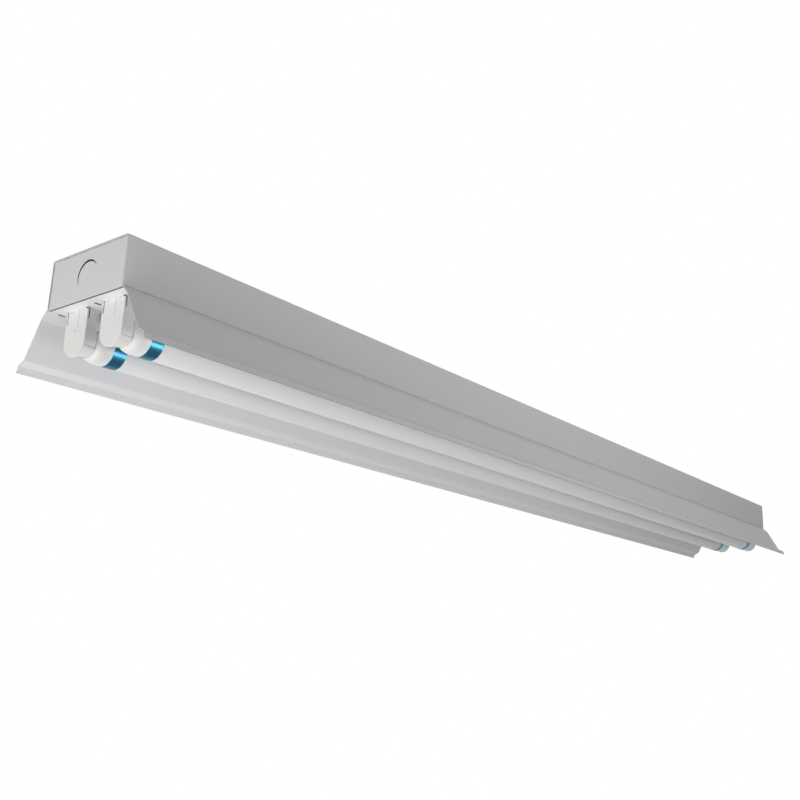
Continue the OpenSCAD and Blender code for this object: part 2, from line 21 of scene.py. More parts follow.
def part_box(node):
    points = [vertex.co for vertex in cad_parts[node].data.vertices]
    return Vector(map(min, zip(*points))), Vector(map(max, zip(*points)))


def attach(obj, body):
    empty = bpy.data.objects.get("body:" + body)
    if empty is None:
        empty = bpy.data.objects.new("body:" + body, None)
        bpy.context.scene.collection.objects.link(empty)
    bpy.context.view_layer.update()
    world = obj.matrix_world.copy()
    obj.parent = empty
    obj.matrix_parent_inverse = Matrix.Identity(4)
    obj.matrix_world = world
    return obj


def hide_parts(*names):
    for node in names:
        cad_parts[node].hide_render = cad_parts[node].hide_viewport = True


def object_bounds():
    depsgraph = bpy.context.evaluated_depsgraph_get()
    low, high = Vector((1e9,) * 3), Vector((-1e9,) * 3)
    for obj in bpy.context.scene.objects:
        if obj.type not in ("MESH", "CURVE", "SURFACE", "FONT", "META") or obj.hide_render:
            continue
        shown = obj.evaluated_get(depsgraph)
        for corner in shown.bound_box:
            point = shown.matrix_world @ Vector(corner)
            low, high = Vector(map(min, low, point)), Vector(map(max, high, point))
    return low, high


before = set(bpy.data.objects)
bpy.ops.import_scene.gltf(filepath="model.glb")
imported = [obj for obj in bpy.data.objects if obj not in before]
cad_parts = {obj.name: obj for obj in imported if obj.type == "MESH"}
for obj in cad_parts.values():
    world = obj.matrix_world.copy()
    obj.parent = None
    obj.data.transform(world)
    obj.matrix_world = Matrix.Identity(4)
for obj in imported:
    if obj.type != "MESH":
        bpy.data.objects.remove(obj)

cad_low, cad_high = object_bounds()
MM = 0.001
print(len(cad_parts), "parts,", [round(v / MM, 1) for v in cad_high - cad_low], "mm overall")

# %% [markdown]
# ## The camera
#
# The photograph looks up at the light from below its near right corner. The camera could be
# placed by eye, but a long straight object shows every mistake in its vanishing lines. So its
# place, direction, roll and focal length were worked out from the housing's straight edges, and
# are written here as a photographer would note them. The focal length is in pixels of an 800 pixel
# wide picture, and becomes a lens for a 36 mm sensor.

# %% Camera
PICTURE_PX = 800
FOCAL_PX = 979.2
SENSOR_MM = 36
CAMERA_PLACE = Vector((-0.9780, -0.5731, -0.2757))
CAMERA_AZIMUTH = math.radians(51.02)
CAMERA_ELEVATION = math.radians(15.26)
CAMERA_ROLL = math.radians(2.25)


def make_camera():
    level = math.cos(CAMERA_ELEVATION)
    ahead = Vector((math.sin(CAMERA_AZIMUTH) * level, math.cos(CAMERA_AZIMUTH) * level,
                    math.sin(CAMERA_ELEVATION)))
    right = Vector((math.cos(CAMERA_AZIMUTH), -math.sin(CAMERA_AZIMUTH), 0))
    up = right.cross(ahead)
    across = right * math.cos(CAMERA_ROLL) + up * math.sin(CAMERA_ROLL)
    upright = up * math.cos(CAMERA_ROLL) - right * math.sin(CAMERA_ROLL)
    turn = Matrix((across, upright, -ahead)).transposed()
    camera = bpy.data.objects.new("camera", bpy.data.cameras.new("camera"))
    camera.data.sensor_width = SENSOR_MM
    camera.data.lens = FOCAL_PX * SENSOR_MM / PICTURE_PX
    camera.matrix_world = Matrix.Translation(CAMERA_PLACE) @ turn.to_4x4()
    bpy.context.scene.collection.objects.link(camera)
    bpy.context.scene.camera = camera
    return camera


camera = make_camera()
print("lens", round(camera.data.lens, 2), "mm")

# %% [markdown]
# ## Shader maths as plain sums
#
# A material is a graph of nodes, and a graph of sums is hard to read. This small class wraps a
# node's output, so that `0.5 + mask * 0.2` adds the Math nodes by itself.

# %% A socket that can be added and multiplied
class Signal:
    def __init__(self, finish, socket):
        self.finish = finish
        self.socket = socket

    def sum(self, operation, first, second):
        return self.finish.sum_of(operation, first, second)

    def __add__(self, other):
        return self.sum("ADD", self, other)

    def __radd__(self, other):
        return self.sum("ADD", other, self)

    def __sub__(self, other):
        return self.sum("SUBTRACT", self, other)

    def __mul__(self, other):
        return self.sum("MULTIPLY", self, other)


print("sockets can be added and multiplied")

# %% [markdown]
# ## A finish as a set of nodes
#
# Every other node comes from one method, which takes the node's type, its settings and what goes
# into its sockets. The patterns that the finishes share are written once, in real sizes: a noise
# is so many grains to the metre, on the object's own coordinates, so it stays on the piece.

# %% A material that is being built
class Finish:
    """A material's nodes, and the patterns that the finishes share."""

    def __init__(self, name):
        self.material = bpy.data.materials.new(name)
        self.material.use_nodes = True
        self.tree = self.material.node_tree
        self.tree.nodes.clear()

    def node(self, kind, settings=None, inputs=None, output=0):
        made = self.tree.nodes.new(kind)
        for key, value in (settings or {}).items():
            setattr(made, key, value)
        for key, value in (inputs or {}).items():
            if isinstance(value, Signal):
                self.tree.links.new(value.socket, made.inputs[key])
            else:
                made.inputs[key].default_value = value
        return Signal(self, made.outputs[output])

    def place(self, stretch=(1, 1, 1)):
        """Object coordinates, which are the frame's own metres, stretched along each axis."""
        spot = self.node("ShaderNodeTexCoord", output="Object")
        return self.node("ShaderNodeMapping", inputs={"Vector": spot, "Scale": stretch})

    def noise(self, per_metre, stretch=(1, 1, 1), detail=2.0, roughness=0.5):
        return self.node("ShaderNodeTexNoise", inputs={
            "Vector": self.place(stretch), "Scale": per_metre,
            "Detail": detail, "Roughness": roughness,
        })

    def band_along_x(self, low, high):
        """One where the distance from the middle of the light, along X, is between two values."""
        spot = self.node("ShaderNodeTexCoord", output="Object")
        along = self.node("ShaderNodeSeparateXYZ", inputs={0: spot}, output="X")
        away = self.node("ShaderNodeMath", {"operation": "ABSOLUTE"}, {0: along})
        return self.sum_of("GREATER_THAN", away, low) * self.sum_of("LESS_THAN", away, high)

    def sum_of(self, operation, first, second):
        return self.node("ShaderNodeMath", {"operation": operation}, {0: first, 1: second})

    def between(self, factor, low, high):
        """A colour that goes from low to high as factor goes from 0 to 1."""
        return self.node(
            "ShaderNodeMix", {"data_type": "RGBA"}, {0: factor, 6: low, 7: high}, output=2)

    def bump(self, height, strength, distance):
        return self.node("ShaderNodeBump", inputs={
            "Height": height, "Strength": strength, "Distance": distance,
        })

    def surface(self, **sockets):
        """Ends the material in a Principled shader, with sockets named as in its panel."""
        inputs = {key.replace("_", " "): value for key, value in sockets.items()}
        shader = self.node("ShaderNodeBsdfPrincipled", inputs=inputs)
        self.node_out(shader)
        return self.material

    def node_out(self, shader):
        out = self.tree.nodes.new("ShaderNodeOutputMaterial")
        self.tree.links.new(shader.socket, out.inputs["Surface"])


def shade(color, amount):
    """A colour made lighter or darker, as the four numbers that a socket takes."""
    return tuple(min(1.0, channel * amount) for channel in color) + (1.0,)


print("finishes can be built")

# %% [markdown]
# ## Enamelled steel
#
# The housing, the end plates and the reflector are steel with a baked white enamel. Close up,
# enamel isn't flat: it dries with a faint orange peel of about a millimetre, its gloss wanders a
# little, and dust settles on it. One flat colour would look like paper, and a picture of paint
# would stretch over a part this long. So three noises at real scales drive the colour, the
# roughness and the bump.

# %% Enamel
CLOUD_PER_M, PEEL_PER_M, DUST_PER_M = 7, 520, 2600
DUST_FROM, DUST_FULL = 0.68, 0.8
PEEL_HEIGHT = 0.06 * MM


def enamel(name, color, gloss_roughness, peel=0.25):
    finish = Finish(name)
    cloud = finish.noise(CLOUD_PER_M, stretch=(0.35, 1, 1), detail=3.0)
    speck = finish.noise(DUST_PER_M, detail=1.0)
    peel_height = finish.noise(PEEL_PER_M, detail=2.0, roughness=0.4)
    dust = finish.node("ShaderNodeMapRange", inputs={
        "Value": speck, "From Min": DUST_FROM, "From Max": DUST_FULL})
    tone = finish.between(cloud, shade(color, 0.975), shade(color, 1.02))
    return finish.surface(
        Base_Color=finish.between(dust * 0.25, tone, shade(color, 0.8)),
        Roughness=gloss_roughness + (cloud - 0.5) * 0.12 + dust * 0.1,
        Normal=finish.bump(peel_height, peel, PEEL_HEIGHT),
        Specular_IOR_Level=0.4,
    )


housing_enamel = enamel("housing_enamel", (0.66, 0.66, 0.665), 0.52)
plate_enamel = enamel("plate_enamel", (0.66, 0.66, 0.66), 0.55)
reflector_enamel = enamel("reflector_enamel", (0.68, 0.68, 0.69), 0.45, peel=0.18)
screw_enamel = enamel("screw_enamel", (0.64, 0.64, 0.64), 0.35)
driver_enamel = enamel("driver_enamel", (0.52, 0.54, 0.56), 0.5, peel=0.4)
ground_dye = enamel("ground_dye", (0.03, 0.30, 0.09), 0.35)
print("enamels made")

# %% [markdown]
# ## Moulded plastic
#
# The lampholders are a warm white polycarbonate and the lamps' caps a colder, glossier one.
# Moulded plastic takes the fine spark-eroded grain of its mould, and a little light enters it and
# comes out beside where it went in, which is why its edges look soft. The grain is a fine bump,
# and the glow is a small amount of subsurface scattering, with the same value all over. The slits
# that free the holders' latches are deep and narrow, so their walls get the same plastic in the
# tone of a shadow.
#
# Between a cap's collar and its ring lies a sleeve with a bluer tone. It is part of the cap, so
# the cap's colour changes where the distance from the middle of the light is within the sleeve's
# span.

# %% Plastic
MELT_PER_M, GRAIN_PER_M = 60, 3800
GRAIN_HEIGHT = 0.03 * MM
SCATTER_RADIUS = (1.0, 0.9, 0.8)
SLEEVE_SPAN = (0.5860, 0.5907)


def plastic(name, color, roughness, grain=0.15, glow=0.0, coat=0.0, sleeve=None):
    finish = Finish(name)
    cloud = finish.noise(MELT_PER_M, detail=2.0)
    grain_height = finish.noise(GRAIN_PER_M, detail=1.0)
    tone = finish.between(cloud, shade(color, 0.975), shade(color, 1.015))
    if sleeve:
        tone = finish.between(finish.band_along_x(*SLEEVE_SPAN), tone, shade(sleeve, 1.0))
    return finish.surface(
        Base_Color=tone,
        Roughness=roughness + (cloud - 0.5) * 0.1,
        Normal=finish.bump(grain_height, grain, GRAIN_HEIGHT),
        Subsurface_Weight=glow,
        Subsurface_Radius=SCATTER_RADIUS,
        Subsurface_Scale=1.5 * MM,
        Coat_Weight=coat,
        Coat_Roughness=0.12,
    )


holder_plastic = plastic("holder_plastic", (0.75, 0.735, 0.72), 0.38, glow=0.08)
# Painted shade: a dark grey plastic for the walls of the latch slits, standing for the shade in
# them.
latch_painted_shade = plastic("latch_painted_shade", (0.16, 0.155, 0.15), 0.6)
rotor_plastic = plastic("rotor_plastic", (0.80, 0.80, 0.79), 0.4, glow=0.1)
cap_plastic = plastic(
    "cap_plastic", (0.67, 0.67, 0.66), 0.34, grain=0.06, glow=0.1, coat=0.08,
    sleeve=(0.70, 0.73, 0.74),
)
board_white = plastic("board_white", (0.82, 0.83, 0.82), 0.45)
board_green = plastic("board_green", (0.02, 0.20, 0.06), 0.35)
terminal_nylon = plastic("terminal_nylon", (0.75, 0.27, 0.04), 0.4, glow=0.1)
wire_red = plastic("wire_red", (0.50, 0.02, 0.015), 0.4)
wire_black = plastic("wire_black", (0.02, 0.02, 0.022), 0.4)
print("plastics made")

# %% [markdown]
# ## The frosted tube
#
# The lamps' tubes are frosted, so the chips inside don't show as dots. Unlit, such a tube is an
# even cool white with a soft sheen along it. Real transmission would cost many samples and show
# only haze, so the tube is a bright diffuse surface under a thin satin coat, and mirrors little
# besides. The frosting is a very fine bump.

# %% Frosted tube
HAZE_PER_M, FROST_PER_M = 9, 5200
FROST_HEIGHT = 0.02 * MM


def frosted(name, color, roughness):
    finish = Finish(name)
    haze = finish.noise(HAZE_PER_M, stretch=(0.5, 1, 1), detail=2.0)
    frost = finish.noise(FROST_PER_M, detail=1.0)
    return finish.surface(
        Base_Color=finish.between(haze, shade(color, 0.985), shade(color, 1.01)),
        Roughness=roughness + (haze - 0.5) * 0.08,
        Normal=finish.bump(frost, 0.10, FROST_HEIGHT),
        Subsurface_Weight=0.2,
        Subsurface_Radius=SCATTER_RADIUS,
        Subsurface_Scale=2 * MM,
        Specular_IOR_Level=0.1,
        Coat_Weight=0.22,
        Coat_Roughness=0.16,
    )


tube_frost = frosted("tube_frost", (0.70, 0.698, 0.71), 0.42)
print("frosted tube made")

# %% [markdown]
# ## Blue foil rings and bare metals
#
# Each lamp ends in a ring of blue lacquered foil. It is a real metal under a clear coat: the
# metal tints what it mirrors, so its dark side is deep petrol blue, and the clear coat adds a
# white glint. The lacquer is turned on, so fine lines run round the ring. They are a noise that
# changes quickly along X and hardly round it. Lacquered foil mirrors less at a flat angle than
# bare metal does, and the edge tint sets that, so the far rings stay blue too.
#
# The same recipe with other colours makes the bare metals. Three greys of it are painted shade on
# the sheets: a dark one on the ends of the housing's top and left wall, the panel's cut-outs and
# the end plates' lower edges, a lighter one on the housing's right-hand ends and the reflector's
# lowest rims and ends, and the darkest on the walls of the narrow slit round a knockout.

# %% Metals
SMEAR_PER_M = 80
SCRATCH_HEIGHT = 0.02 * MM
TURNED = (1, 0.02, 0.02)
DRAWN = (0.01, 1, 1)


def metal(
    name, color, roughness, lines=(1, 1, 1), line_scale=900, scratch=0.1,
    edge_tint=(1, 1, 1), coat=0.0, coat_rough=0.08,
):
    finish = Finish(name)
    line = finish.noise(line_scale, stretch=lines, detail=2.0)
    smear = finish.noise(SMEAR_PER_M, detail=2.0)
    return finish.surface(
        Base_Color=finish.between(line, shade(color, 0.9), shade(color, 1.1)),
        Metallic=1.0,
        Roughness=roughness + (line - 0.5) * 0.15 + (smear - 0.5) * 0.08,
        Specular_Tint=shade(edge_tint, 1.0),
        Normal=finish.bump(line, scratch, SCRATCH_HEIGHT),
        Coat_Weight=coat,
        Coat_Roughness=coat_rough,
    )


ring_foil = metal(
    "ring_foil", (0.03, 0.22, 0.35), 0.30, lines=TURNED, line_scale=2500, scratch=0.03,
    edge_tint=(0.3, 0.4, 0.45), coat=0.5, coat_rough=0.2,
)
aluminium = metal("aluminium", (0.80, 0.81, 0.82), 0.35, lines=DRAWN)
zinc = metal("zinc", (0.62, 0.64, 0.66), 0.38)
# Painted shade: a near black for the walls of the knockout's slit, standing for the shade inside
# it.
slit_painted_shade = metal("slit_painted_shade", (0.10, 0.10, 0.11), 0.55)
# Painted shade: a dark grey for sheet ends and cut-outs, standing for the shade in the gaps.
edge_painted_shade = metal("edge_painted_shade", (0.30, 0.30, 0.31), 0.6)
# Painted shade: a lighter grey that tones edges down, so they don't show as lit lines.
edge_painted_half_shade = metal("edge_painted_half_shade", (0.42, 0.42, 0.43), 0.6)
bronze = metal("bronze", (0.62, 0.38, 0.16), 0.3, lines=(1, 1, 0.05))
pin_brass = metal("pin_brass", (0.74, 0.66, 0.48), 0.22, lines=DRAWN)
print("metals made")

# %% [markdown]
# ## Working as by hand
#
# Each new piece starts from a primitive and is shaped in edit mode. Operators act on everything
# that is selected, so the helpers below first clear the selection and then pick faces or edges by
# where they are. How far a face's normal leans along an axis tells whether it looks that way, is
# slanted to it or is edge on.

# %% Helpers for selecting
FACING, SLANTED, EDGE_ON = 0.9, 0.5, 0.1


def take(piece):
    if bpy.context.mode != "OBJECT":
        bpy.ops.object.mode_set(mode="OBJECT")
    bpy.ops.object.select_all(action="DESELECT")
    piece.select_set(True)
    bpy.context.view_layer.objects.active = piece


def edit(piece, kind="FACE"):
    take(piece)
    bpy.ops.object.mode_set(mode="EDIT")
    bpy.ops.mesh.select_mode(type=kind)
    bpy.ops.mesh.select_all(action="DESELECT")


def done():
    bpy.ops.object.mode_set(mode="OBJECT")


def pick(piece, parts, test):
    """Selects the faces or edges that pass a test, in edit mode, and returns how many did."""
    mesh = bmesh.from_edit_mesh(piece.data)
    found = [part for part in getattr(mesh, parts) if test(part)]
    for part in found:
        part.select_set(True)
    mesh.select_flush_mode()
    bmesh.update_edit_mesh(piece.data)
    return len(found)


def near(value, target, slack=0.02 * MM):
    return abs(value - target) < slack


def name_piece(name):
    piece = bpy.context.active_object
    piece.name = name
    return piece


print("pieces can be selected")

# %% [markdown]
# ## Cutting and joining
#
# A punch or a drill is a box or a rod that is taken out of the piece by a boolean modifier, which
# is applied at once, and a foot or a tab is joined in the same way. `settle` puts a piece's place
# into its mesh, as the loaded parts have it, so its object stays at the origin.

# %% Helpers for cutting
ROUND_STEPS = 96


def settle(piece):
    take(piece)
    bpy.ops.object.transform_apply(location=True, rotation=True, scale=True)


def modify(piece, kind, **settings):
    take(piece)
    modifier = piece.modifiers.new(kind.lower(), kind)
    for key, value in settings.items():
        setattr(modifier, key, value)
    bpy.ops.object.modifier_apply(modifier=modifier.name)


def merge(piece, tool, operation="DIFFERENCE"):
    """Cuts a tool out of a piece, or adds it, and removes the tool."""
    settle(tool)
    modify(piece, "BOOLEAN", object=tool, operation=operation, solver="EXACT")
    bpy.data.objects.remove(tool)


def box_tool(low, high):
    low, high = Vector(low), Vector(high)
    bpy.ops.mesh.primitive_cube_add(size=1, location=(low + high) / 2, scale=high - low)
    return bpy.context.active_object


def rod_tool(radius, start, end, vertices=48):
    """A cylinder from one point to another."""
    start, end = Vector(start), Vector(end)
    bpy.ops.mesh.primitive_cylinder_add(
        vertices=vertices, radius=radius, depth=(end - start).length, location=(start + end) / 2,
        rotation=(end - start).to_track_quat("Z", "Y").to_euler())
    return bpy.context.active_object


print("pieces can be cut")

# %% [markdown]
# ## Finishing a piece
#
# A piece is shaded smooth except at its sharp edges, and its normals are weighted by the faces'
# size, so flat sheet stays flat beside a rounded edge. It then says which moving body it rides
# on and which loaded parts it replaces. Cut edges and recesses get painted shade as a second
# material, and what repeats is copied with a mesh of its own.

# %% Helpers for finishing and copying
SMOOTH_ANGLE = math.radians(32)


def dress(piece, material, body, slot, *nodes):
    """Smooths a piece, gives it a material, and says what it rides on and replaces."""
    settle(piece)
    bpy.ops.object.shade_smooth_by_angle(angle=SMOOTH_ANGLE)
    modify(piece, "WEIGHTED_NORMAL", weight=80, keep_sharp=True)
    piece.data.materials.clear()
    piece.data.materials.append(material)
    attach(piece, body)
    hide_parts(*nodes)
    return piece


def repaint(piece, material, test):
    """Gives a second material to the faces that pass a test of the face and its centre."""
    piece.data.materials.append(material)
    edit(piece)
    count = pick(piece, "faces", lambda f: test(f, f.calc_center_median()))
    piece.active_material_index = len(piece.data.materials) - 1
    bpy.ops.object.material_slot_assign()
    done()
    return count


def copy_of(piece, name, turn=0.0, move=(0, 0, 0)):
    """A copy with its own mesh, turned about Z and then moved."""
    other = bpy.data.objects.new(name, piece.data.copy())
    bpy.context.scene.collection.objects.link(other)
    other.matrix_world = Matrix.Translation(Vector(move)) @ Matrix.Rotation(turn, 4, "Z")
    settle(other)
    return other


print("pieces can be finished")

# %% [markdown]
# ## Folded sheet
#
# The housing and the reflector are each one strip of 0.8 mm sheet, bent along its length on a
# press brake. The natural way to model that is the way it is made: a flat plane for the middle,
# its long edges pulled out once for every bend, each bend rounded, and only then a thickness. A
# bend's radius is on the outside, and the round starts `radius * tan(turn / 2)` before the
# corner.

# %% Sizes of the sheet metal
END_X = cad_high.x
HALF_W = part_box("housing_channel")[1].y
PANEL_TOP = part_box("housing_channel")[0].z
SHEET = 0.8 * MM
FOLD_R = 1.6 * MM
FLANGE = 9 * MM
BEND_STEPS = 5
EDGE_ROUND = 0.12 * MM
END_SLACK = 0.3 * MM


def bend_length(before, after, radius):
    turn = Vector(before).angle(Vector(after))
    return radius * math.tan(turn / 2)


def folded_strip(name, z, steps):
    """A plane whose long edges are pulled out by steps of (outwards, up), each bend rounded."""
    bpy.ops.mesh.primitive_plane_add(size=1, location=(0, 0, z))
    strip = name_piece(name)
    strip.scale = (2 * END_X, 2 * HALF_W, 1)
    settle(strip)
    for side in (1, -1):
        edit(strip, "EDGE")
        pick(strip, "edges", lambda e: all(near(v.co.y, side * HALF_W) for v in e.verts))
        for out, up in steps:
            bpy.ops.mesh.extrude_edges_move(TRANSFORM_OT_translate={"value": (0, side * out, up)})
        done()
    y, height, before = HALF_W, z, (1, 0)
    bends = []
    for out, up in steps:
        bends.append((y, height, bend_length(before, (out, up), FOLD_R)))
        y, height, before = y + out, height + up, (out, up)
    for bend_y, bend_z, reach in bends:
        edit(strip, "EDGE")
        pick(strip, "edges", lambda e: all(
            near(abs(v.co.y), bend_y) and near(v.co.z, bend_z) for v in e.verts))
        bpy.ops.mesh.bevel(offset=reach, offset_type="OFFSET", segments=BEND_STEPS, affect="EDGES")
        done()
    modify(strip, "SOLIDIFY", thickness=SHEET, offset=-1.0, use_even_offset=True)
    return strip


def soften(piece, width=EDGE_ROUND, limit=40):
    """Takes the burr off every sharp edge, as tumbling and enamel do."""
    modify(piece, "BEVEL", width=width, segments=2, limit_method="ANGLE",
           angle_limit=math.radians(limit), use_clamp_overlap=False)


def at_end(face, centre):
    """Whether a face belongs to a sheet's cut end."""
    return abs(face.normal.x) > FACING and near(abs(centre.x), END_X, END_SLACK)


print("half length", round(END_X / MM, 1), "half width", round(HALF_W / MM, 1))

# %% [markdown]
# ## The housing
#
# The housing is an upturned channel whose lower edges turn inwards, so the reflector can hang
# from them. Its top has four screw holes, four slots for chain hooks and the supply cable's hole.
# The holes are cut through the finished sheet with cylinders and boxes, as a punch would, and the
# flanges stop short of the ends to let the lampholders through. The sheet's ends get painted shade
# in greys, so they show as the thin dark lines round the end plates.

# %% Housing
SCREW_AT = (END_X - 63.2 * MM, 22.2 * MM)
SCREW_HOLE_R = 3.2 * MM
SLOT_AT = (END_X - 114 * MM, 31.75 * MM)
SLOT_LEN = 16 * MM
SLOT_W = 4.8 * MM
ENTRY_X = 190.5 * MM
ENTRY_R = 11.1 * MM
FLANGE_NOTCH = 24 * MM
PAST = 1 * MM


def make_housing():
    housing = folded_strip("housing", 0, [(0, PANEL_TOP), (-FLANGE, 0)])
    low, high = -SHEET - PAST, PAST
    for sx in (-1, 1):
        inner, outer = sorted((sx * (END_X - FLANGE_NOTCH), sx * (END_X + PAST)))
        merge(housing, box_tool((inner, SHEET - HALF_W, PANEL_TOP - PAST),
                                (outer, HALF_W - SHEET, PANEL_TOP + FOLD_R)))
        for sy in (-1, 1):
            x, y = sx * SCREW_AT[0], sy * SCREW_AT[1]
            merge(housing, rod_tool(SCREW_HOLE_R, (x, y, low), (x, y, high)))
            x, y = sx * SLOT_AT[0], sy * SLOT_AT[1]
            reach = (SLOT_LEN - SLOT_W) / 2
            merge(housing, box_tool((x - reach, y - SLOT_W / 2, low),
                                    (x + reach, y + SLOT_W / 2, high)))
            for end in (-reach, reach):
                merge(housing, rod_tool(
                    SLOT_W / 2, (x + end, y, low), (x + end, y, high), vertices=32))
    merge(housing, rod_tool(ENTRY_R, (ENTRY_X, 0, low), (ENTRY_X, 0, high), vertices=64))
    soften(housing)
    return dress(housing, housing_enamel, "fixture", "housing_paint", "housing_channel")


housing = make_housing()
# Painted shade: the housing's end faces are grey, darker on the top and the left wall, lighter on
# the right wall, to draw the dark lines round the end plates.
ends = repaint(housing, edge_painted_shade, lambda f, c: at_end(f, c) and (c.z > -SHEET or c.y > 0))
# Painted shade: the right wall's end faces are a lighter grey, for a fainter dark line.
right = repaint(housing, edge_painted_half_shade, lambda f, c: at_end(f, c) and c.z < -SHEET and c.y < 0)
print("housing faces", len(housing.data.polygons), "cut edges", ends, "and", right)

# %% [markdown]
# ## The reflector
#
# The reflector is a second folded strip below the housing: a flat panel, a shoulder, a wide wing,
# a nearly flat shelf and a turned-down hem on each side. The bends catch the light as the bright
# lines that run the whole length of the photograph. Its panel has an opening for each lampholder
# and small slots for the hooks of the end plates. Rounding its edges pushes a few corners out by
# a hair, so they are set back to the sheet's length.

# %% Reflector
SHOULDER = (6.2 * MM, -6.3 * MM)
WING = (15.7 * MM, -27.7 * MM)
SHELF = (6.3 * MM, -3.0 * MM)
HEM = (2.3 * MM, -5.3 * MM)
TUBE_LOW, TUBE_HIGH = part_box("tube_left")
LAMP_Y = (TUBE_LOW.y + TUBE_HIGH.y) / 2
LAMP_Z = (TUBE_LOW.z + TUBE_HIGH.z) / 2
HOLDER_INSET = 10 * MM
OPENING_FRONT, OPENING_REAR, OPENING_HALF = 1.9 * MM, 10.7 * MM, 9.9 * MM
HOOK_LEN, HOOK_W, HOOK_LEAD, HOOK_EDGE = 5.4 * MM, 1.9 * MM, 1 * MM, 0.7 * MM
PANEL_BACK = 2.4 * MM
SCREW_X, SCREW_CLEAR_R = END_X / 2, 2.1 * MM
RIM_BAND = 0.5 * MM


def make_reflector():
    reflector = folded_strip("reflector_sheet", PANEL_TOP, [SHOULDER, WING, SHELF, HEM])
    low, high = PANEL_TOP - SHEET - PAST, PANEL_TOP + PAST
    seat = END_X - HOLDER_INSET
    for sx in (-1, 1):
        xs = sorted((sx * (seat - OPENING_FRONT), sx * (seat - OPENING_REAR)))
        for sy in (-1, 1):
            merge(reflector, box_tool((xs[0], sy * LAMP_Y - OPENING_HALF, low),
                                      (xs[1], sy * LAMP_Y + OPENING_HALF, high)))
        xs = sorted((sx * (seat + HOOK_LEAD), sx * (seat + HOOK_LEAD - HOOK_LEN)))
        for sy in (-1, 0, 1):
            y = sy * (HALF_W - HOOK_EDGE)
            merge(reflector, box_tool((xs[0], y - HOOK_W / 2, low), (xs[1], y + HOOK_W / 2, high)))
        xs = sorted((sx * (END_X - PANEL_BACK), sx * (END_X + PAST)))
        merge(reflector, box_tool((xs[0], SHEET - HALF_W, low), (xs[1], HALF_W - SHEET, high)))
        screw = sx * SCREW_X
        merge(reflector, rod_tool(SCREW_CLEAR_R, (screw, 0, low), (screw, 0, high)))
    soften(reflector)
    for corner in reflector.data.vertices:
        corner.co.x = max(-END_X, min(END_X, corner.co.x))
    return dress(reflector, reflector_enamel, "fixture", "reflector_paint", "reflector")


reflector = make_reflector()
# Painted shade: the walls of the panel's cut-outs are dark grey, for the shade in the gaps.
ends = repaint(reflector, edge_painted_shade, lambda f, c: abs(f.normal.z) < SLANTED
               and c.z > PANEL_TOP - SHEET and abs(c.y) < HALF_W - SHEET / 2)
lowest = min(v.co.z for v in reflector.data.vertices)
# Painted shade: the lowest rims and the ends are a lighter grey, which keeps them from showing as
# lit lines.
rims = repaint(reflector, edge_painted_half_shade, lambda f, c: near(c.z, lowest, RIM_BAND) or at_end(f, c))
print("reflector faces", len(reflector.data.polygons), "cut edges", ends, "rims", rims)

# %% [markdown]
# ## The end plates
#
# Each end of the housing is closed by a plate with three tabs folded back along the walls. Its
# face sits a hair inside the housing, which draws the thin dark line round it. In the middle is a
# knockout: a slug that is cut almost all the way round, so it can be pushed out for a cable. Its
# slit is a crescent, the difference of two circles that are a little apart. The slit's walls and
# the plate's lower edge get painted shade in dark greys, so the slit and the gap below the plate
# read as dark lines.

# %% End plates
PLATE_LOW, PLATE_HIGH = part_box("end_plate_near")
PLATE_FOLD_R, PLATE_ROUND = 0.4 * MM, 0.08 * MM
PLATE_GAP = 0.5 * MM
SLUG_R = 11.1 * MM
SLUG_PLAY = 0.1 * MM
SLUG_Z = -20 * MM
SLUG_SHIFT = (-0.85 * MM, -1.472 * MM)
SLIT_BAND = 1.5 * MM


